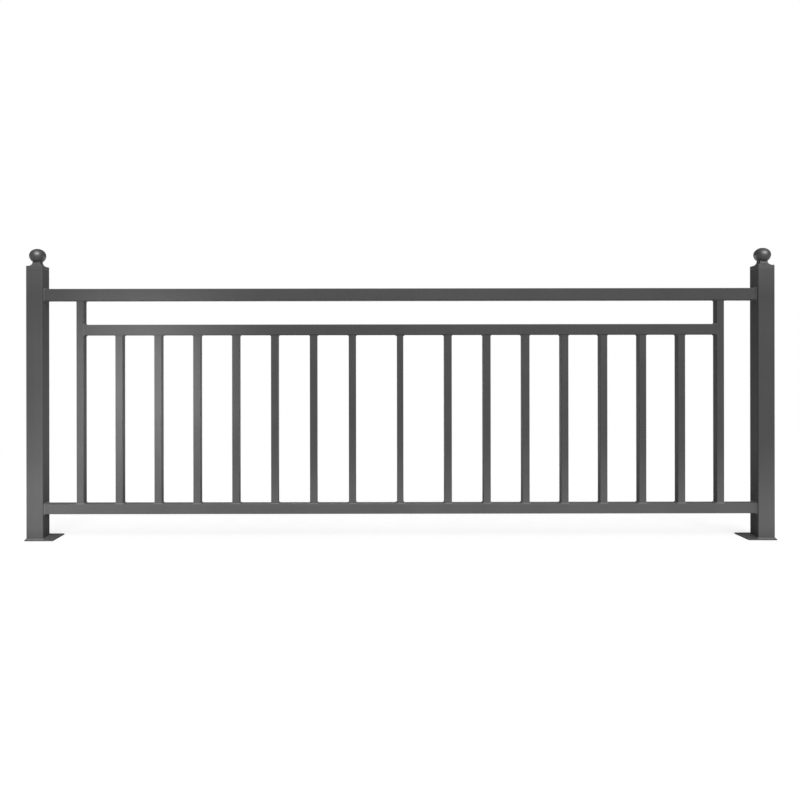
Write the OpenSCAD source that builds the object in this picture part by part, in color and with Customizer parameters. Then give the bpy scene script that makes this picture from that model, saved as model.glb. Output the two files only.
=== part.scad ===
// One bay of a steel guardrail: two square posts on base plates, two rails from
// post to post, and a framed panel of upright bars between them. Millimetres.
// The origin is under the left base plate, on the axis of the left post.
// +X runs along the bay to the right post, +Y to the back and +Z up.

/* [Bay] */
// Distance between the axes of the two posts
post_pitch = 2600; // [2200:10:3000]
// Height of the post tubes' top ends above the ground
post_top = 962; // [900:1:1200]

/* [Posts] */
// Outer width and depth of the post tube
post_size = 60; // [56:1:80]
// Wall thickness of the post tube
post_wall = 2; // [1.5:0.1:4]
// Outer corner radius of the post tube
post_round = 4; // [3:0.5:8]

/* [Base plates] */
// Thickness of a base plate
plate_t = 4; // [3:0.5:12]
// Reach of a base plate past the post's outer side
plate_outer = 5; // [5:1:20]
// Reach of a base plate past the post's inner side
plate_inner = 37; // [34:1:70]
// Reach of a base plate past the post's front
plate_front = 6; // [5:1:20]
// Reach of a base plate past the post's back
plate_back = 42; // [34:1:70]
// Corner radius of a base plate
plate_round = 3; // [1:0.5:8]
// Diameter of the anchor holes
anchor_d = 12; // [8:1:14]
// Distance from an anchor hole's centre to the nearest edges of the plate
anchor_edge = 16; // [12:1:22]

/* [Rails] */
// Height of the top rail's section
top_rail_h = 43; // [30:1:60]
// Underside of the top rail above the ground
top_rail_z = 853; // [800:1:900]
// Height of the second rail's section
second_rail_h = 38; // [25:1:50]
// Underside of the second rail above the ground
second_rail_z = 730; // [560:1:760]
// Height of the bottom rail's section
bottom_rail_h = 36; // [25:1:50]
// Underside of the bottom rail above the ground
bottom_rail_z = 92; // [60:1:200]
// Depth of the top and bottom rails, front to back
rail_d = 40; // [36:1:46]
// Depth of the second rail, front to back
second_rail_d = 34; // [32:1:38]
// Wall thickness of the rails
rail_wall = 1.5; // [1:0.1:3]
// Outer corner radius of the rails
rail_round = 3; // [2:0.5:5]

/* [Bars] */
// Width of the stiles and balusters, along the bay
bar_w = 26; // [16:1:34]
// Width of the middle baluster, which is slimmer than its neighbours
middle_bar_w = 22; // [16:1:34]
// Depth of the stiles and balusters, front to back
bar_d = 32; // [20:1:34]
// Wall thickness of the stiles and balusters
bar_wall = 1.2; // [0.8:0.1:2]
// Outer corner radius of the stiles and balusters
bar_round = 2; // [1.5:0.5:4]
// Clear gap between a post and the stile beside it
stile_gap = 114; // [60:1:200]
// Distance from the middle baluster to the next one on either side
middle_pitch = 171; // [120:1:240]

/* [Post caps] */
// Height of the square collar above the post tube
collar_h = 15; // [8:1:30]
// Width of the flat shelf around the collar's top
cap_shelf = 1.5; // [1:0.1:4]
// Width of the square neck under the ball
neck_w = 27; // [22:1:34]
// Height of the straight neck above the cove
neck_h = 3; // [2:0.5:20]
// Wall thickness of the cap, over its hollow underside
cap_wall = 3; // [2:0.5:5]
// Length of the spigot that goes down into the post
spigot_h = 22; // [10:1:60]
// Gap all round between the spigot and the inside of the post
spigot_fit = 0.4; // [0.2:0.1:1]

/* [Ball finials] */
// Widest diameter of the ball
ball_d = 57.5; // [50:0.5:76]
// Height of the ball's flattened crown above its middle
crown_h = 25; // [20:0.5:32]
// Depth that the ball's fuller lower half would have without its flat seat
root_h = 27; // [24:0.5:36]
// Height of the ball's middle above its seat on the neck
ball_seat = 21; // [18:0.5:23]
// Diameter of the round tenon that holds the ball
tenon_d = 12; // [8:1:20]
// Length of the tenon
tenon_h = 10; // [6:1:18]
// Radial gap between the tenon and its socket
tenon_fit = 0.15; // [0.05:0.05:0.4]

/* [Hidden] */
$fn = 64;
charcoal = [0.33, 0.33, 0.33];
side_balusters = 7;
baluster_names = [for (i = [1:2 * side_balusters + 1]) str("baluster_", i < 10 ? "0" : "", i)];

// How far a cutting or joining shape runs past the face that it meets
over = 1;
// Smallest corner radius left inside a tube
least_round = 0.3;

post_half = post_size / 2;
rail_length = post_pitch - post_size;
bay_middle = post_pitch / 2;
stile_x = rail_length / 2 - stile_gap - bar_w / 2;
side_pitch = (stile_x - middle_pitch) / side_balusters;
bar_foot_z = bottom_rail_z + bottom_rail_h;
shoulder_z = post_top + collar_h;
cove_r = (post_size - neck_w) / 2 - cap_shelf;
seat_z = shoulder_z + cove_r + neck_h;

// Distances of the balusters from the middle of the bay, left to right
baluster_offsets = concat(
    [for (i = [side_balusters - 1:-1:0]) -middle_pitch - i * side_pitch],
    [0],
    [for (i = [0:side_balusters - 1]) middle_pitch + i * side_pitch]
);

// A rectangle w by h about the origin, with round corners
module round_rectangle(w, h, r) {
    square([w - 2 * r, h], center = true);
    square([w, h - 2 * r], center = true);
    for (sx = [-1, 1], sy = [-1, 1])
        translate([sx * (w / 2 - r), sy * (h / 2 - r)])
            scale([sx, sy])
                intersection() {
                    circle(r);
                    square(r);
                }
}

// The section of a welded tube, with the same wall all round
module tube_section(w, h, r, wall) {
    difference() {
        round_rectangle(w, h, r);
        round_rectangle(w - 2 * wall, h - 2 * wall, max(r - wall, least_round));
    }
}

// An upright tube that stands at its own z = 0
module upright(w, d, r, wall, length) {
    linear_extrude(length) tube_section(w, d, r, wall);
}

// A level tube of height h and depth d, that runs from x to x + length with its underside at z
module level_rail(x, z, h, d, length) {
    translate([x, 0, z + h / 2])
        rotate([90, 0, 90])
            linear_extrude(length) tube_section(d, h, rail_round, rail_wall);
}

// Places a left-hand piece at the left post, or its mirror image at the right post
module at_post(right) {
    if (right)
        translate([post_pitch, 0, 0]) mirror([1, 0, 0]) children();
    else
        children();
}

module post() {
    color(charcoal)
        translate([0, 0, plate_t])
            upright(post_size, post_size, post_round, post_wall, post_top - plate_t);
}

module base_plate() {
    w = plate_outer + post_size + plate_inner;
    d = plate_front + post_size + plate_back;
    x0 = -post_half - plate_outer;
    y0 = -post_half - plate_front;
    inner_x = x0 + w - anchor_edge;
    outer_x = x0 + anchor_edge;
    front_y = y0 + anchor_edge;
    back_y = y0 + d - anchor_edge;
    color(charcoal)
        difference() {
            translate([x0 + w / 2, y0 + d / 2, 0])
                linear_extrude(plate_t) round_rectangle(w, d, plate_round);
            for (at = [[inner_x, front_y], [inner_x, back_y], [outer_x, back_y]])
                translate([at[0], at[1], -over])
                    cylinder(d = anchor_d, h = plate_t + 2 * over);
        }
}

// Front outline of the cap above the post tube: collar, shelf, cove and neck
module cap_outline() {
    translate([-post_half, 0]) square([post_size, collar_h]);
    translate([-neck_w / 2, 0]) square([neck_w, collar_h + cove_r + neck_h]);
    for (side = [-1, 1])
        scale([side, 1])
            difference() {
                translate([0, collar_h - over]) square([neck_w / 2 + cove_r, cove_r + over]);
                translate([neck_w / 2 + cove_r, collar_h + cove_r]) circle(cove_r);
            }
}

// The same outline seen from the front and from the side leaves a four-sided cove,
// whose faces meet in mitred ridges that run from the neck out to the collar's corners
module four_sided_cove() {
    total = collar_h + cove_r + neck_h;
    intersection() {
        translate([0, post_half, 0])
            rotate([90, 0, 0]) linear_extrude(post_size) cap_outline();
        translate([-post_half, 0, 0])
            rotate([90, 0, 90]) linear_extrude(post_size) cap_outline();
        linear_extrude(total) round_rectangle(post_size, post_size, post_round);
    }
}

module post_cap() {
    bore = post_size - 2 * post_wall;
    spigot_w = bore - 2 * spigot_fit;
    spigot_round = max(post_round - post_wall - spigot_fit, least_round);
    pocket_w = spigot_w - 2 * cap_wall;
    color(charcoal)
        translate([0, 0, post_top])
            difference() {
                union() {
                    four_sided_cove();
                    translate([0, 0, -spigot_h])
                        linear_extrude(spigot_h + over)
                            round_rectangle(spigot_w, spigot_w, spigot_round);
                    translate([0, 0, seat_z - post_top - over])
                        cylinder(d = tenon_d, h = tenon_h + over);
                }
                translate([0, 0, -spigot_h - over])
                    linear_extrude(spigot_h + collar_h - cap_wall + over)
                        square(pocket_w, center = true);
            }
}

// Half of a ball squashed to height h, above its middle where side is 1 or below it where -1
module half_ball(h, side) {
    intersection() {
        scale([1, 1, 2 * h / ball_d]) sphere(d = ball_d);
        translate([0, 0, side * (h + over) / 2])
            cube([ball_d + 2 * over, ball_d + 2 * over, h + over], center = true);
    }
}

// A ball with a flattened crown, a fuller root, a flat seat and a blind socket for the tenon
module ball_finial() {
    color(charcoal)
        translate([0, 0, seat_z + ball_seat])
            difference() {
                union() {
                    half_ball(crown_h, 1);
                    half_ball(root_h, -1);
                }
                translate([0, 0, -ball_seat - root_h])
                    cylinder(d = ball_d, h = root_h);
                translate([0, 0, -ball_seat - over])
                    cylinder(d = tenon_d + 2 * tenon_fit, h = tenon_h + tenon_fit + over);
            }
}

module top_rail() {
    color(charcoal) level_rail(post_half, top_rail_z, top_rail_h, rail_d, rail_length);
}

module bottom_rail() {
    color(charcoal) level_rail(post_half, bottom_rail_z, bottom_rail_h, rail_d, rail_length);
}

module second_rail() {
    length = 2 * stile_x - bar_w;
    color(charcoal)
        level_rail(bay_middle - length / 2, second_rail_z, second_rail_h, second_rail_d, length);
}

// An upright bar of width w from the bottom rail up to height top_z, at an offset from the bay's middle
module bar(offset, w, top_z) {
    color(charcoal)
        translate([bay_middle + offset, 0, bar_foot_z])
            upright(w, bar_d, bar_round, bar_wall, top_z - bar_foot_z);
}

at_post(false) post();  // left_post
at_post(true) post();  // right_post
at_post(false) base_plate();  // left_base_plate
at_post(true) base_plate();  // right_base_plate
at_post(false) post_cap();  // left_post_cap
at_post(true) post_cap();  // right_post_cap
at_post(false) ball_finial();  // left_ball_finial
at_post(true) ball_finial();  // right_ball_finial
top_rail();
second_rail();
bottom_rail();
bar(-stile_x, bar_w, top_rail_z);  // left_stile
bar(stile_x, bar_w, top_rail_z);  // right_stile
for (i = [0:2 * side_balusters])
    bar(baluster_offsets[i], i == side_balusters ? middle_bar_w : bar_w, second_rail_z);
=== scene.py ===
import math

import bmesh
import bpy
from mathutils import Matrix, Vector


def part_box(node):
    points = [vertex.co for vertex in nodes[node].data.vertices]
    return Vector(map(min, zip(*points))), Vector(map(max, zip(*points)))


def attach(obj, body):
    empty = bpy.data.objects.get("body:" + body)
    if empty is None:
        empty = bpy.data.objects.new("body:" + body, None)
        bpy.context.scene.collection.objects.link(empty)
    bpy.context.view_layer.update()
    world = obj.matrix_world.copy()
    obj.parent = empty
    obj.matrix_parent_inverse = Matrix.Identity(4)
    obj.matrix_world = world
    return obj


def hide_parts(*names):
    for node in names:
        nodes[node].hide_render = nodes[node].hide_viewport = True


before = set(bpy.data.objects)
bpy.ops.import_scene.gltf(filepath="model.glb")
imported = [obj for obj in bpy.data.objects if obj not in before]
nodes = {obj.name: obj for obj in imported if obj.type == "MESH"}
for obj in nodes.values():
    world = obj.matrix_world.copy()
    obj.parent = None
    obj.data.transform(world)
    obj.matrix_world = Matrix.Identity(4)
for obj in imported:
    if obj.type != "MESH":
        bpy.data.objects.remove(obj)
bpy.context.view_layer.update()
sides = ("left", "right")
stileNames = [side + "_stile" for side in sides]
balusterNames = sorted(name for name in nodes if name.startswith("baluster_"))
mergeDistance = 1e-6  # metres, under which two points are one
print("frame loaded:", len(nodes), "nodes,", len(balusterNames), "balusters")


def grey(level):
    return (level, level, level, 1)


def addNode(tree, kind, **settings):
    made = tree.nodes.new(kind)
    for name, value in settings.items():
        setattr(made, name, value)
    return made


def feed(tree, socket, value):
    # a socket takes another node's output, or a fixed value
    if isinstance(value, bpy.types.NodeSocket):
        tree.links.new(value, socket)
    else:
        socket.default_value = value


def mathNode(tree, operation, *values, clamp=False):
    made = addNode(tree, "ShaderNodeMath", operation=operation, use_clamp=clamp)
    for socket, value in zip(made.inputs, values):
        feed(tree, socket, value)
    return made.outputs[0]


def vectorNode(tree, operation, first, second):
    made = addNode(tree, "ShaderNodeVectorMath", operation=operation)
    feed(tree, made.inputs[0], first)
    feed(tree, made.inputs["Scale" if operation == "SCALE" else 1], second)
    return made.outputs[0]


def axesOf(tree, vector):
    made = addNode(tree, "ShaderNodeSeparateXYZ")
    feed(tree, made.inputs[0], vector)
    return made.outputs


def smoothStep(tree, value, low, high):
    made = addNode(tree, "ShaderNodeMapRange", interpolation_type="SMOOTHSTEP")
    feed(tree, made.inputs["Value"], value)
    made.inputs["From Min"].default_value = low
    made.inputs["From Max"].default_value = high
    return made.outputs[0]


def mixShaders(tree, factor, first, second):
    made = addNode(tree, "ShaderNodeMixShader")
    for socket, value in zip(made.inputs, (factor, first, second)):
        feed(tree, socket, value)
    return made.outputs[0]


def meshObject(name, bm):
    mesh = bpy.data.meshes.new(name)
    bm.to_mesh(mesh)
    bm.free()
    made = bpy.data.objects.new(name, mesh)
    bpy.context.scene.collection.objects.link(made)
    return made


def bakeModifiers(piece):
    # turns what the modifiers make into the piece's own mesh
    depsgraph = bpy.context.evaluated_depsgraph_get()
    finished = bpy.data.meshes.new_from_object(piece.evaluated_get(depsgraph))
    piece.modifiers.clear()
    old = piece.data
    piece.data = finished
    finished.name = piece.name
    bpy.data.meshes.remove(old)


def smoothUpTo(piece, degrees):
    for face in piece.data.polygons:
        face.use_smooth = True
    piece.data.set_sharp_from_angle(angle=math.radians(degrees))


# powder coat: the same group in every finish, with the finish's own values

coatForm = {
    "grainScale": 1500.0,
    "runStretch": (55.0, 55.0, 2.2),  # slight sags of the spray, down the uprights
    "dustFrom": 0.55,       # dust stays on what faces up more than this
    "dustGain": 2.4,
    "dustColour": (0.32, 0.32, 0.318, 1),
    "dustRoughness": 0.8,
    "patchScale": 38.0,
    "patchGain": 1.3,
    "patchLoss": 0.15,      # leaves clean places between the patches of dust
    "cloudRoughness": 0.16,
    "topRange": 0.09,       # metres over which the painted light on a post's top comes in
    "peelRelief": 0.8,
    "grainRelief": 0.2,
    "peelHeight": 0.00012,  # metres between hollow and crest of the orange peel
}
tubeGloss = {"specular": 0.15, "ior": 1.5, "peel": 0.35}
coatLooks = {
    # painted light: the posts' tops are a little lighter
    "post": {"Paint": grey(0.110), "Cloud Scale": 5.0, "Cloud Share": 0.12, "Top Painted Light": 0.26},
    "rail": {"Paint": grey(0.110), "Cloud Scale": 6.0, "Cloud Share": 0.12, "Run Share": 0.02},
    "bar": {"Paint": grey(0.110), "Cloud Scale": 8.0, "Cloud Share": 0.14},
    "cap": {
        "specular": 0.5,
        # painted light: the caps' paint is lighter than the posts', like the posts' tops
        "Paint": grey(0.133),
        "Cloud Scale": 22.0,
        "Cloud Share": 0.10,
        "Peel Scale": 420.0,
        "Gloss Roughness": 0.40,
    },
    "ball": {  # the glossiest, as a pressed shell is smoother than drawn tube
        "specular": 1.0,
        "ior": 1.8,
        "peel": 0.06,
        "Paint": grey(0.085),
        "Cloud Scale": 25.0,
        "Cloud Share": 0.08,
        "Run Share": 0.0,
        "Gloss Roughness": 0.42,
        "Dust Share": 0.12,
    },
    "plate": {
        "specular": 0.10,
        # painted shade: a little darker than the posts' paint, for the shade on the plate tops
        "Paint": grey(0.104),
        "Cloud Scale": 30.0,
        "Cloud Share": 0.2,
        "Gloss Roughness": 0.5,
        "Dust Share": 0.08,
        "Foot Shade": 0.0,
    },
    "weld": {
        # painted light: the beads' paint is lighter than the tubes', for the light they catch
        "Paint": grey(0.180),
        "Cloud Scale": 60.0,
        "Cloud Share": 0.16,
        "Peel Scale": 700.0,
        "Gloss Roughness": 0.38,
    },
}


def coatGroup():
    # colour, roughness and relief of a sprayed and baked powder coat, on Object coordinates in metres
    form = coatForm
    tree = bpy.data.node_groups.new("powderCoat", "ShaderNodeTree")
    sockets = (
        ("Paint", "NodeSocketColor", grey(0.09)),
        ("Cloud Scale", "NodeSocketFloat", 7.0),
        ("Cloud Share", "NodeSocketFloat", 0.10),
        ("Run Share", "NodeSocketFloat", 0.05),
        ("Grain Share", "NodeSocketFloat", 0.05),
        ("Peel Scale", "NodeSocketFloat", 520.0),
        ("Gloss Roughness", "NodeSocketFloat", 0.42),
        ("Dust Share", "NodeSocketFloat", 0.25),
        ("Foot Height", "NodeSocketFloat", 0.05),
        ("Foot Shade", "NodeSocketFloat", 0.2),
        ("Top Height", "NodeSocketFloat", 0.87),
        ("Top Painted Light", "NodeSocketFloat", 0.0),
    )
    for name, kind, value in sockets:
        tree.interface.new_socket(name, in_out="INPUT", socket_type=kind).default_value = value
    tree.interface.new_socket("Colour", in_out="OUTPUT", socket_type="NodeSocketColor")
    tree.interface.new_socket("Roughness", in_out="OUTPUT", socket_type="NodeSocketFloat")
    tree.interface.new_socket("Relief", in_out="OUTPUT", socket_type="NodeSocketFloat")
    given = addNode(tree, "NodeGroupInput").outputs
    out = addNode(tree, "NodeGroupOutput").inputs
    place = addNode(tree, "ShaderNodeTexCoord").outputs["Object"]

    def noise(scale, detail, at=place):
        made = addNode(tree, "ShaderNodeTexNoise")
        feed(tree, made.inputs["Vector"], at)
        feed(tree, made.inputs["Scale"], scale)
        made.inputs["Detail"].default_value = detail
        return made.outputs["Fac"]

    stretched = addNode(tree, "ShaderNodeMapping")
    stretched.inputs["Scale"].default_value = form["runStretch"]
    feed(tree, stretched.inputs["Vector"], place)
    clouds = noise(given["Cloud Scale"], 3.0)
    runs = noise(1.0, 2.0, stretched.outputs[0])
    grain = noise(form["grainScale"], 2.0)
    peel = noise(given["Peel Scale"], 1.5)

    swings = []
    for pattern, share in ((clouds, "Cloud Share"), (runs, "Run Share"), (grain, "Grain Share")):
        centred = mathNode(tree, "MULTIPLY", mathNode(tree, "SUBTRACT", pattern, 0.5), 2.0)
        swings.append(mathNode(tree, "MULTIPLY", centred, given[share]))
    level = mathNode(tree, "ADD", mathNode(tree, "ADD", swings[0], swings[1]), swings[2])
    level = mathNode(tree, "ADD", level, 1.0)

    # dust settles on what faces up, in patches
    facing = axesOf(tree, addNode(tree, "ShaderNodeNewGeometry").outputs["Normal"])
    up = mathNode(tree, "SUBTRACT", facing["Z"], form["dustFrom"])
    up = mathNode(tree, "MULTIPLY", up, form["dustGain"], clamp=True)
    patches = mathNode(tree, "MULTIPLY", noise(form["patchScale"], 4.0), form["patchGain"])
    patches = mathNode(tree, "SUBTRACT", patches, form["patchLoss"], clamp=True)
    dust = mathNode(tree, "MULTIPLY", mathNode(tree, "MULTIPLY", up, patches), given["Dust Share"])

    # painted shade: the last few centimetres above the ground are a little darker; painted light: a post's
    # top is a little lighter
    height = axesOf(tree, place)["Z"]
    low = mathNode(tree, "DIVIDE", height, given["Foot Height"], clamp=True)
    shade = mathNode(tree, "MULTIPLY", mathNode(tree, "SUBTRACT", 1.0, low), given["Foot Shade"])
    high = mathNode(tree, "SUBTRACT", height, given["Top Height"])
    high = mathNode(tree, "DIVIDE", high, form["topRange"], clamp=True)
    topPaintedLight = mathNode(tree, "MULTIPLY_ADD", high, given["Top Painted Light"], 1.0)
    level = mathNode(tree, "MULTIPLY", level, mathNode(tree, "SUBTRACT", 1.0, shade))
    level = mathNode(tree, "MULTIPLY", level, topPaintedLight)

    dusted = addNode(tree, "ShaderNodeMix", data_type="RGBA")
    feed(tree, dusted.inputs["Factor"], dust)
    feed(tree, dusted.inputs["A"], vectorNode(tree, "SCALE", given["Paint"], level))
    feed(tree, dusted.inputs["B"], form["dustColour"])
    feed(tree, out["Colour"], dusted.outputs["Result"])

    rough = mathNode(tree, "SUBTRACT", clouds, 0.5)
    rough = mathNode(tree, "MULTIPLY", rough, form["cloudRoughness"])
    rough = mathNode(tree, "ADD", rough, given["Gloss Roughness"])
    matt = mathNode(tree, "MULTIPLY", dust, form["dustRoughness"])
    feed(tree, out["Roughness"], mathNode(tree, "ADD", rough, matt, clamp=True))

    coarse = mathNode(tree, "MULTIPLY", peel, form["peelRelief"])
    fine = mathNode(tree, "MULTIPLY", grain, form["grainRelief"])
    feed(tree, out["Relief"], mathNode(tree, "ADD", coarse, fine))
    return tree


powderCoat = coatGroup()


def coatMaterial(name, specular, ior, peel, **values):
    made = bpy.data.materials.new(name)
    made.use_nodes = True
    tree = made.node_tree
    shader = tree.nodes["Principled BSDF"].inputs
    shader["Specular IOR Level"].default_value = specular
    shader["IOR"].default_value = ior
    coat = addNode(tree, "ShaderNodeGroup", node_tree=powderCoat)
    for socket, value in values.items():
        coat.inputs[socket].default_value = value
    bump = addNode(tree, "ShaderNodeBump")
    bump.inputs["Distance"].default_value = coatForm["peelHeight"]
    bump.inputs["Strength"].default_value = peel
    feed(tree, shader["Base Color"], coat.outputs["Colour"])
    feed(tree, shader["Roughness"], coat.outputs["Roughness"])
    feed(tree, bump.inputs["Height"], coat.outputs["Relief"])
    feed(tree, shader["Normal"], bump.outputs["Normal"])
    return made


coats = {}
for finish, look in coatLooks.items():
    coats[finish] = coatMaterial(finish + "Coat", **{**tubeGloss, **look})
print("powder coat mixed:", len(coats), "finishes")


def coatNode(name, finish):
    for slot in nodes[name].material_slots:
        slot.material = coats[finish]


for side in sides:
    coatNode(side + "_post", "post")
    coatNode(side + "_ball_finial", "ball")
for name in ("top_rail", "second_rail", "bottom_rail"):
    coatNode(name, "rail")
for name in stileNames + balusterNames:
    coatNode(name, "bar")


# post caps: collar, cove and neck, cast in one

capForm = {
    "collar": 0.015,        # height of the square collar over the post
    "shelf": 0.0015,        # flat step round the foot of the cove
    "coveRadius": 0.015,
    "coveSteps": 14,
    "collarCorner": 0.004,
    "cornerPoints": 7,
    "ridgeCorner": 0.0012,  # softness of the mitred ridges
    "ridgeTaper": 2.2,      # how fast the collar's corner sharpens into the ridge
    "neckStraight": 0.0012,
    "seatRise": 0.0018,     # the neck's corners ease over this height, to end under the ball
    "seatCorner": 0.003,
    "softEdge": 0.0008,
    "edgeSteps": 4,
    "groove": 0.0006,       # shadow line where the collar meets the post
    "smoothUpTo": 32,       # degrees
}


def roundSquare(half, corner):
    # one ring of a square column with round corners, counter-clockwise
    points = capForm["cornerPoints"]
    middle = Vector((half - corner, half - corner))
    ring = []
    for quarter in range(4):
        angle = quarter * math.pi / 2
        for step in range(points):
            turn = math.radians(90 * step / (points - 1))
            point = middle + corner * Vector((math.cos(turn), math.sin(turn)))
            ring.append((point.x * math.cos(angle) - point.y * math.sin(angle),
                         point.x * math.sin(angle) + point.y * math.cos(angle)))
    return ring


def capRings(half):
    # height over the post, half width and corner radius of each ring, from the groove up
    form = capForm
    soft, groove = form["softEdge"], form["groove"]
    rings = [(0.0, half - groove, form["collarCorner"] - groove), (groove, half, form["collarCorner"])]
    for step in range(form["edgeSteps"] + 1):
        turn = math.radians(90 * step / form["edgeSteps"])
        rings.append((form["collar"] - soft + soft * math.sin(turn),
                      half - soft + soft * math.cos(turn),
                      form["collarCorner"]))
    foot, radius = half - form["shelf"], form["coveRadius"]
    coveTop = form["collar"] + radius
    for step in range(form["coveSteps"] + 1):
        turn = math.radians(90 * step / form["coveSteps"])
        wide = foot - radius * math.sin(turn)
        ridge = max(form["ridgeCorner"], form["collarCorner"] - (half - wide) * form["ridgeTaper"])
        rings.append((coveTop - radius * math.cos(turn), wide, ridge))
    neck, top = foot - radius, coveTop + form["neckStraight"]
    rings.append((top, neck, form["ridgeCorner"]))
    rings.append((top + form["seatRise"], neck, form["seatCorner"]))
    return rings


def makeCap(side):
    low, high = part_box(side + "_post")
    half, centre = (high.x - low.x) / 2, (low + high) / 2
    bm = bmesh.new()
    rings = []
    for tall, wide, corner in capRings(half):
        points = roundSquare(wide, corner)
        rings.append([bm.verts.new((centre.x + x, centre.y + y, high.z + tall)) for x, y in points])
    bm.faces.new(reversed(rings[0]))
    for below, above in zip(rings, rings[1:]):
        for i in range(len(below)):
            j = (i + 1) % len(below)
            bm.faces.new((below[i], below[j], above[j], above[i]))
    bm.faces.new(rings[-1])
    bmesh.ops.recalc_face_normals(bm, faces=bm.faces)
    cap = meshObject(side + "PostCap", bm)
    cap.data.materials.append(coats["cap"])
    smoothUpTo(cap, capForm["smoothUpTo"])
    weighted = cap.modifiers.new("even", "WEIGHTED_NORMAL")
    weighted.keep_sharp = True
    bakeModifiers(cap)
    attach(cap, "root")
    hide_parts(side + "_post_cap")


for side in sides:
    makeCap(side)
print("post caps made")


# base plates: sheared plate with eased edges and three anchor holes

plateForm = {
    "easedEdge": 0.0006,
    "easeSteps": 2,
    "easeFrom": 50,    # degrees; the holes' facets stay as they are
    "flatUnder": 0.5,  # degrees, under which two faces are one
    "smoothUpTo": 32,
}


def makePlate(side):
    bm = bmesh.new()
    bm.from_mesh(nodes[side + "_base_plate"].data)
    bmesh.ops.remove_doubles(bm, verts=bm.verts, dist=mergeDistance)
    flat = math.radians(plateForm["flatUnder"])
    bmesh.ops.dissolve_limit(bm, angle_limit=flat, verts=bm.verts, edges=bm.edges)
    bmesh.ops.recalc_face_normals(bm, faces=bm.faces)
    plate = meshObject(side + "BasePlate", bm)
    plate.data.materials.append(coats["plate"])
    ease = plate.modifiers.new("easedEdge", "BEVEL")
    ease.width = plateForm["easedEdge"]
    ease.segments = plateForm["easeSteps"]
    ease.limit_method = "ANGLE"
    ease.angle_limit = math.radians(plateForm["easeFrom"])
    bakeModifiers(plate)
    smoothUpTo(plate, plateForm["smoothUpTo"])
    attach(plate, "root")
    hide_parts(side + "_base_plate")


for side in sides:
    makePlate(side)
print("base plates made")


# weld beads: one run round a tube's end, repeated at every joint of its kind

beadSizes = {
    "Tube Width": 0.025,
    "Tube Depth": 0.028,
    "Tube Corner": 0.002,
    "Leg": 0.0035,
    "Front Share": 0.85,   # of the leg, on the front and back faces
    "Flatten": 0.2,        # from a quarter round towards a straight fillet
    "Overlap": 0.0004,     # how far the bead reaches into the steel
    "Ripple Pitch": 0.0028,
    "Ripple Depth": 0.10,
    "Waver": 0.0003,       # how far the welder's hand strays
}
beadMesh = {
    "cornerPoints": 5,
    "sectionPoints": 6,
    "pointsPerRipple": 4,
    "waverScale": 160.0,
    "waverDetail": 2.0,
}


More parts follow.
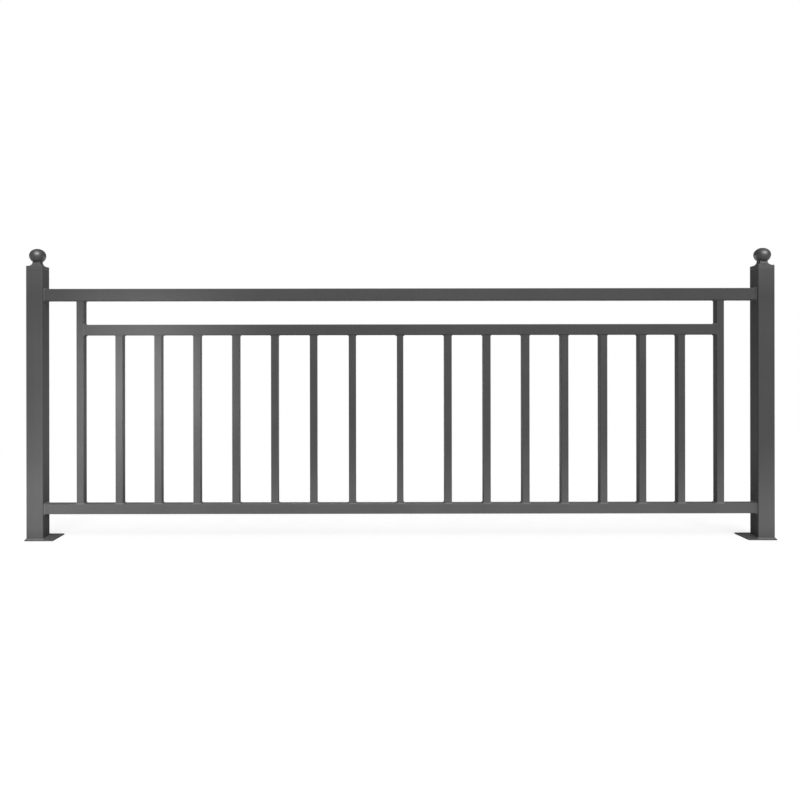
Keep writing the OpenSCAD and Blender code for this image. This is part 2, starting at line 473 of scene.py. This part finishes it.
def weldTree():
    tree = bpy.data.node_groups.new("weldBead", "GeometryNodeTree")
    tree.interface.new_socket("Geometry", in_out="INPUT", socket_type="NodeSocketGeometry")
    for name, value in beadSizes.items():
        tree.interface.new_socket(name, in_out="INPUT", socket_type="NodeSocketFloat").default_value = value
    tree.interface.new_socket("Seed", in_out="INPUT", socket_type="NodeSocketInt").default_value = 1
    tree.interface.new_socket("Coating", in_out="INPUT", socket_type="NodeSocketMaterial")
    tree.interface.new_socket("Geometry", in_out="OUTPUT", socket_type="NodeSocketGeometry")
    given = addNode(tree, "NodeGroupInput").outputs
    link = tree.links.new

    # the run: the tube's outline, in steps of a quarter ripple
    outline = addNode(tree, "GeometryNodeCurvePrimitiveQuadrilateral")
    link(given["Tube Width"], outline.inputs["Width"])
    link(given["Tube Depth"], outline.inputs["Height"])
    corners = addNode(tree, "GeometryNodeFilletCurve", mode="POLY")
    corners.inputs["Count"].default_value = beadMesh["cornerPoints"]
    link(outline.outputs["Curve"], corners.inputs["Curve"])
    link(given["Tube Corner"], corners.inputs["Radius"])
    run = addNode(tree, "GeometryNodeResampleCurve", mode="LENGTH")
    stride = mathNode(tree, "DIVIDE", given["Ripple Pitch"], beadMesh["pointsPerRipple"])
    link(corners.outputs["Curve"], run.inputs["Curve"])
    link(stride, run.inputs["Length"])
    upright = addNode(tree, "GeometryNodeSetCurveNormal", mode="Z_UP")
    link(run.outputs["Curve"], upright.inputs["Curve"])

    # the section: a quarter round in the corner, flattened towards a straight fillet
    arc = addNode(tree, "GeometryNodeCurveArc", mode="RADIUS")
    arc.inputs["Resolution"].default_value = beadMesh["sectionPoints"]
    arc.inputs["Sweep Angle"].default_value = math.radians(90)
    arc.inputs["Connect Center"].default_value = True
    link(mathNode(tree, "ADD", given["Leg"], given["Overlap"]), arc.inputs["Radius"])
    at = addNode(tree, "GeometryNodeInputPosition").outputs[0]
    axes = axesOf(tree, at)
    crown = mathNode(tree, "MULTIPLY", axes["X"], axes["Y"])
    crown = mathNode(tree, "DIVIDE", crown, mathNode(tree, "MULTIPLY", given["Leg"], given["Leg"]))
    keep = mathNode(tree, "SUBTRACT", 1.0, mathNode(tree, "MULTIPLY", crown, given["Flatten"]))
    into = addNode(tree, "ShaderNodeCombineXYZ")
    link(given["Overlap"], into.inputs["X"])
    link(given["Overlap"], into.inputs["Y"])
    sunk = vectorNode(tree, "SUBTRACT", vectorNode(tree, "SCALE", at, keep), into.outputs[0])
    section = addNode(tree, "GeometryNodeSetPosition")
    link(arc.outputs["Curve"], section.inputs["Geometry"])
    # the section's second axis points down the tube, so it is turned over
    link(vectorNode(tree, "MULTIPLY", sunk, (1, -1, 1)), section.inputs["Position"])

    # ripples along the run, and a smaller leg on the front and back faces
    along = addNode(tree, "GeometryNodeSplineParameter").outputs["Length"]
    wave = mathNode(tree, "MULTIPLY", mathNode(tree, "DIVIDE", along, given["Ripple Pitch"]), math.pi)
    wave = mathNode(tree, "ABSOLUTE", mathNode(tree, "SINE", wave))
    wave = mathNode(tree, "SUBTRACT", 1.0, mathNode(tree, "MULTIPLY", wave, given["Ripple Depth"]))
    heading = axesOf(tree, addNode(tree, "GeometryNodeInputTangent").outputs[0])
    sideways = mathNode(tree, "ABSOLUTE", heading["Y"])
    share = mathNode(tree, "MULTIPLY", mathNode(tree, "SUBTRACT", 1.0, given["Front Share"]), sideways)
    size = mathNode(tree, "MULTIPLY", wave, mathNode(tree, "ADD", share, given["Front Share"]))
    bead = addNode(tree, "GeometryNodeCurveToMesh")
    link(upright.outputs["Curve"], bead.inputs["Curve"])
    link(section.outputs["Geometry"], bead.inputs["Profile Curve"])
    link(size, bead.inputs["Scale"])
    smooth = addNode(tree, "GeometryNodeSetShadeSmooth")
    link(bead.outputs["Mesh"], smooth.inputs["Geometry"])

    # one bead at each joint, turned as the joint says, then no two quite alike
    turn = addNode(tree, "GeometryNodeInputNamedAttribute", data_type="FLOAT_VECTOR")
    turn.inputs["Name"].default_value = "turn"
    euler = addNode(tree, "FunctionNodeEulerToRotation")
    link(turn.outputs["Attribute"], euler.inputs[0])
    placed = addNode(tree, "GeometryNodeInstanceOnPoints")
    link(given["Geometry"], placed.inputs["Points"])
    link(smooth.outputs["Geometry"], placed.inputs["Instance"])
    link(euler.outputs[0], placed.inputs["Rotation"])
    real = addNode(tree, "GeometryNodeRealizeInstances")
    link(placed.outputs["Instances"], real.inputs["Geometry"])
    drift = addNode(tree, "ShaderNodeTexNoise", noise_dimensions="4D")
    drift.inputs["Scale"].default_value = beadMesh["waverScale"]
    drift.inputs["Detail"].default_value = beadMesh["waverDetail"]
    link(addNode(tree, "GeometryNodeInputPosition").outputs[0], drift.inputs["Vector"])
    link(given["Seed"], drift.inputs["W"])
    centred = vectorNode(tree, "SUBTRACT", drift.outputs["Color"], (0.5, 0.5, 0.5))
    hand = addNode(tree, "GeometryNodeSetPosition")
    link(real.outputs["Geometry"], hand.inputs["Geometry"])
    link(vectorNode(tree, "SCALE", centred, given["Waver"]), hand.inputs["Offset"])
    coated = addNode(tree, "GeometryNodeSetMaterial")
    link(hand.outputs["Geometry"], coated.inputs["Geometry"])
    link(given["Coating"], coated.inputs["Material"])
    link(coated.outputs["Geometry"], addNode(tree, "NodeGroupOutput").inputs["Geometry"])
    return tree


weldBead = weldTree()
weldForms = {
    "postFootWelds": {
        "Tube Corner": 0.004,
        "Leg": 0.0046,
        "Front Share": 0.97,
        "Flatten": 0.3,
        "Ripple Pitch": 0.0045,
        "Ripple Depth": 0.07,
        "Waver": 0.0006,
        "Seed": 3,
    },
    "barFootWelds": {"Leg": 0.0038, "Front Share": 0.8, "Seed": 5},
    "stileHeadWelds": {"Leg": 0.0036, "Front Share": 0.8, "Seed": 8},
    "balusterHeadWelds": {"Leg": 0.0036, "Front Share": 0.3, "Seed": 11},
    "topRailWelds": {
        "Tube Corner": 0.003, "Leg": 0.0042, "Front Share": 1.0, "Ripple Pitch": 0.003, "Seed": 14},
    "bottomRailWelds": {
        "Tube Corner": 0.003, "Leg": 0.0042, "Front Share": 1.0, "Ripple Pitch": 0.003, "Seed": 17},
    "secondRailWelds": {
        "Tube Corner": 0.003, "Leg": 0.0042, "Front Share": 0.3, "Ripple Pitch": 0.003, "Seed": 21},
}


def weldJoints(name, joints, width, depth):
    # joints are (place, turn): the bead runs round its own Z, which points along the tube that ends there
    mesh = bpy.data.meshes.new(name)
    mesh.from_pydata([place for place, turn in joints], [], [])
    turns = mesh.attributes.new("turn", "FLOAT_VECTOR", "POINT")
    turns.data.foreach_set("vector", [value for place, turn in joints for value in turn])
    welds = bpy.data.objects.new(name, mesh)
    bpy.context.scene.collection.objects.link(welds)
    modifier = welds.modifiers.new("weldBead", "NODES")
    modifier.node_group = weldBead
    values = {**weldForms[name], "Tube Width": width, "Tube Depth": depth, "Coating": coats["weld"]}
    for socket in weldBead.interface.items_tree:
        if socket.in_out == "INPUT" and socket.name in values:
            modifier[socket.identifier] = values[socket.name]
    bakeModifiers(welds)
    bm = bmesh.new()
    bm.from_mesh(welds.data)
    bmesh.ops.remove_doubles(bm, verts=bm.verts, dist=mergeDistance)
    bmesh.ops.recalc_face_normals(bm, faces=bm.faces)
    bm.to_mesh(welds.data)
    bm.free()
    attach(welds, "root")
    print("welded", name, len(joints), "joints,", len(welds.data.polygons), "faces")


upTurn, downTurn = (0, 0, 0), (math.pi, 0, 0)
rightTurn, leftTurn = (0, math.pi / 2, 0), (0, -math.pi / 2, 0)


def weldUprights(weldName, names, height, turn, like):
    # uprights that end at the same height; the beads fit a tube as wide and deep as the one in like
    joints = []
    for name in names:
        low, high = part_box(name)
        joints.append((((low.x + high.x) / 2, 0, height), turn))
    low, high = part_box(like)
    weldJoints(weldName, joints, high.x - low.x, high.y - low.y)


def weldRail(weldName, rail):
    low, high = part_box(rail)
    height = (low.z + high.z) / 2
    joints = [((low.x, 0, height), rightTurn), ((high.x, 0, height), leftTurn)]
    weldJoints(weldName, joints, high.z - low.z, high.y - low.y)


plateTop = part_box("left_base_plate")[1].z
topLow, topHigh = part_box("top_rail")
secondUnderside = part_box("second_rail")[0].z
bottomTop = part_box("bottom_rail")[1].z
firstBar = balusterNames[0]
weldUprights("postFootWelds", ["left_post", "right_post"], plateTop, upTurn, "left_post")
weldUprights("barFootWelds", balusterNames + stileNames, bottomTop, upTurn, firstBar)
weldUprights("stileHeadWelds", stileNames, topLow.z, downTurn, firstBar)
weldUprights("balusterHeadWelds", balusterNames, secondUnderside, downTurn, firstBar)
weldRail("topRailWelds", "top_rail")
weldRail("bottomRailWelds", "bottom_rail")
weldRail("secondRailWelds", "second_rail")


# studio: floor, world, lamps and camera

# a sun's turn is in degrees to the right of the viewing direction
keyLamp = {"strength": 2.0, "turn": 11.0, "lift": 36.0, "softness": 48.0, "inGloss": True}
backLamp = {"strength": 1.6, "turn": 180.0, "lift": 15.0, "softness": 15.0, "inGloss": False}
topLamp = {"strength": 0.65, "turn": 12.0, "lift": 82.0, "softness": 50.0, "inGloss": False}
sunDistance = 6.0
sideBox = {  # lights the patch near the left end that is lighter in the photograph
    "place": (0.38, -1.1, 0.55),
    "aim": (0.38, 0.0, 0.54),
    "size": (0.46, 0.5),
    "spread": 37.0,
    "watts": 1.0,
}
footBox = {  # a strip along the ground, for the lighter bottom rail and feet
    "place": (1.30, -0.75, 0.06),
    "aim": (1.30, 0.0, 0.06),
    "size": (3.2, 0.1),
    "spread": 50.0,
    "watts": 1.35,
}
cornerBox = {  # the left post's lower part is lighter too
    "place": (0.04, -1.0, 0.21),
    "aim": (0.04, 0.0, 0.21),
    "size": (0.2, 0.16),
    "spread": 36.0,
    "watts": 0.15,
}
studioLook = {
    "roomLight": 0.07,            # what the room gives to matt surfaces
    "backdropHalf": (8.0, 26.0),  # degrees off the view over which the backdrop ends in gloss
    "floorHalf": 30.0,
    "floorGlow": 0.69,            # with the lamps on floorShade just white, where no shadow falls
    "floorShade": 0.45,
    "floorBounce": 0.31,          # what the floor sends back to the object
    "glossFrom": (0.4, 3.0),      # Y over which the floor turns white in gloss, as the background is
    "fadeRange": (1.6, 3.4),      # metres from the middle over which the floor turns plain white
    "fadeStretch": (0.75, 1, 1),  # the floor's turn to white reaches further along the bay
}


def whiteForEye(tree, glossMask):
    # 1 for rays that show the background: seen directly, or in gloss or glass
    path = addNode(tree, "ShaderNodeLightPath").outputs
    inGloss = mathNode(tree, "MULTIPLY", path["Is Glossy Ray"], glossMask)
    seen = mathNode(tree, "ADD", path["Is Camera Ray"], inGloss)
    return mathNode(tree, "ADD", seen, path["Is Transmission Ray"], clamp=True)


def backdropMask(tree):
    # 1 straight behind the object, falling to 0 at the backdrop's edges
    way = axesOf(tree, addNode(tree, "ShaderNodeTexCoord").outputs["Object"])
    inner, outer = studioLook["backdropHalf"]
    return smoothStep(tree, way["Y"], math.cos(math.radians(outer)), math.cos(math.radians(inner)))


def makeFloor():
    reach = studioLook["floorHalf"]
    corners = ((-reach, -reach), (reach, -reach), (reach, reach), (-reach, reach))
    bm = bmesh.new()
    bm.faces.new([bm.verts.new((x, y, 0)) for x, y in corners])
    floor = meshObject("studioFloor", bm)
    material = bpy.data.materials.new("floorWhite")
    material.use_nodes = True
    material.cycles.emission_sampling = "NONE"
    tree = material.node_tree
    tree.nodes.remove(tree.nodes["Principled BSDF"])
    place = addNode(tree, "ShaderNodeTexCoord").outputs["Object"]
    bounce = addNode(tree, "ShaderNodeBsdfDiffuse")
    bounce.inputs["Color"].default_value = grey(studioLook["floorBounce"])
    shade = addNode(tree, "ShaderNodeBsdfDiffuse")
    shade.inputs["Color"].default_value = grey(studioLook["floorShade"])
    glow = addNode(tree, "ShaderNodeEmission")
    glow.inputs["Strength"].default_value = studioLook["floorGlow"]
    shaded = addNode(tree, "ShaderNodeAddShader")
    feed(tree, shaded.inputs[0], shade.outputs[0])
    feed(tree, shaded.inputs[1], glow.outputs[0])
    white = addNode(tree, "ShaderNodeEmission").outputs[0]

    # far from the object the floor is plain white, so that no horizon shows
    fromMiddle = vectorNode(tree, "SUBTRACT", place, ((topLow.x + topHigh.x) / 2, 0, 0))
    distance = addNode(tree, "ShaderNodeVectorMath", operation="LENGTH")
    feed(tree, distance.inputs[0], vectorNode(tree, "MULTIPLY", fromMiddle, studioLook["fadeStretch"]))
    far = smoothStep(tree, distance.outputs["Value"], *studioLook["fadeRange"])
    seenFloor = mixShaders(tree, far, shaded.outputs[0], white)
    behind = smoothStep(tree, axesOf(tree, place)["Y"], *studioLook["glossFrom"])
    both = mixShaders(tree, whiteForEye(tree, behind), bounce.outputs[0], seenFloor)
    feed(tree, tree.nodes["Material Output"].inputs["Surface"], both)
    floor.data.materials.append(material)


def makeWorld():
    world = bpy.data.worlds.new("studioWorld")
    world.use_nodes = True
    tree = world.node_tree
    room = tree.nodes["Background"]
    room.inputs["Color"].default_value = grey(1)
    room.inputs["Strength"].default_value = studioLook["roomLight"]
    backdrop = addNode(tree, "ShaderNodeBackground")
    backdrop.inputs["Color"].default_value = grey(1)
    both = mixShaders(tree, whiteForEye(tree, backdropMask(tree)), room.outputs[0], backdrop.outputs[0])
    feed(tree, tree.nodes["World Output"].inputs["Surface"], both)
    bpy.context.scene.world = world


def hangLamp(name, lamp, place, away):
    # a lamp shines down its own Z, so its Z points away from what it lights
    made = bpy.data.objects.new(name, lamp)
    made.location = place
    made.rotation_mode = "QUATERNION"
    made.rotation_quaternion = away.to_track_quat("Z", "Y")
    bpy.context.scene.collection.objects.link(made)
    return made


def makeSun(name, look):
    lamp = bpy.data.lights.new(name, "SUN")
    lamp.energy = look["strength"]
    lamp.angle = math.radians(look["softness"])
    turn, lift = math.radians(look["turn"]), math.radians(look["lift"])
    away = Vector((math.sin(turn) * math.cos(lift), -math.cos(turn) * math.cos(lift), math.sin(lift)))
    made = hangLamp(name, lamp, away * sunDistance, away)
    made.visible_glossy = look["inGloss"]


def makeBox(name, look):
    lamp = bpy.data.lights.new(name, "AREA")
    lamp.energy = look["watts"]
    lamp.shape = "RECTANGLE"
    lamp.size, lamp.size_y = look["size"]
    lamp.spread = math.radians(look["spread"])
    place = Vector(look["place"])
    made = hangLamp(name, lamp, place, place - Vector(look["aim"]))
    made.visible_camera = False
    made.visible_glossy = False


cameraLook = {
    "place": (1.166, -2.728, 0.630),
    "focalPixels": 760,
    "framePixels": 800,
    "sensor": 36,
    "shift": (0.0466, -0.04625),
    "roll": 0.08,  # degrees that the photograph's right side is raised
    "reach": 100,
}


def makeCamera():
    lens = bpy.data.cameras.new("viewer")
    lens.sensor_width = cameraLook["sensor"]
    lens.lens = cameraLook["focalPixels"] / cameraLook["framePixels"] * cameraLook["sensor"]
    lens.shift_x, lens.shift_y = cameraLook["shift"]
    lens.clip_end = cameraLook["reach"]
    viewer = bpy.data.objects.new("viewer", lens)
    viewer.location = cameraLook["place"]
    viewer.rotation_euler = (math.radians(90), math.radians(cameraLook["roll"]), 0)
    bpy.context.scene.collection.objects.link(viewer)
    bpy.context.scene.camera = viewer


makeFloor()
makeWorld()
makeSun("keyLamp", keyLamp)
makeSun("backLamp", backLamp)
makeSun("topLamp", topLamp)
makeBox("sideBox", sideBox)
makeBox("footBox", footBox)
makeBox("cornerBox", cornerBox)
makeCamera()
bpy.context.scene.view_settings.view_transform = "Standard"
print("studio ready")
